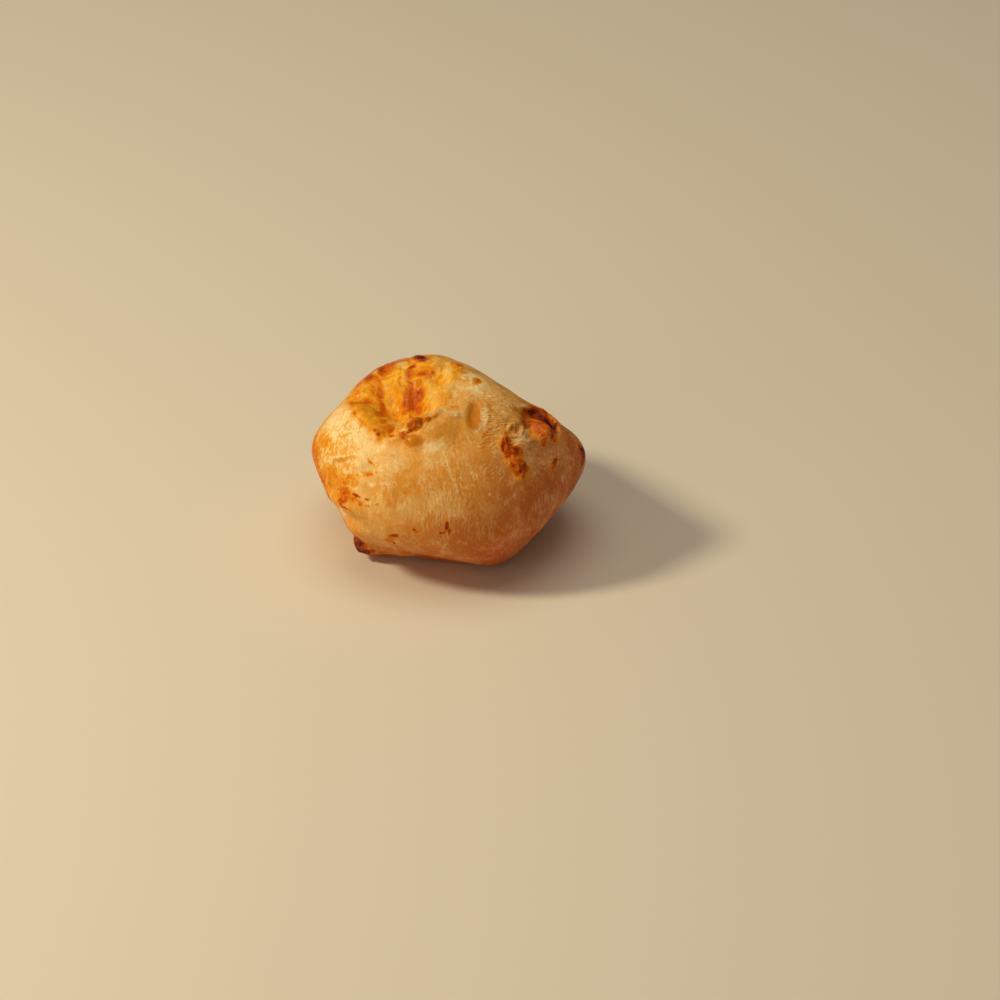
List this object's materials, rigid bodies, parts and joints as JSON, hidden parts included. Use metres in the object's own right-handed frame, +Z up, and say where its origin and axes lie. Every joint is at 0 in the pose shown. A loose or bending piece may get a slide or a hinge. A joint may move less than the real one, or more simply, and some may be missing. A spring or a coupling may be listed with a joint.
{
  "type": "cheese ball",
  "caption": "Baked cheese ball in one piece: a puffed, rounded body with a burst and browned hollow on top, cheese knobs, a small torn pit and a flat base to rest on.",
  "frame": {"origin": "bottom centre of the ball's box, on the level it rests on", "axes": "+Z up, -Y is the front with the torn hollow above it, +X to the right of someone facing the front, along the ball's longest side"},
  "size_m": [0.0718, 0.0684, 0.0499],
  "materials": {
    "crust": "baked crust, cream to golden with browned spots, soft satin sheen"
  },
  "bodies": {
    "root": {"cheese_ball": "crust"}
  },
  "joints": []
}
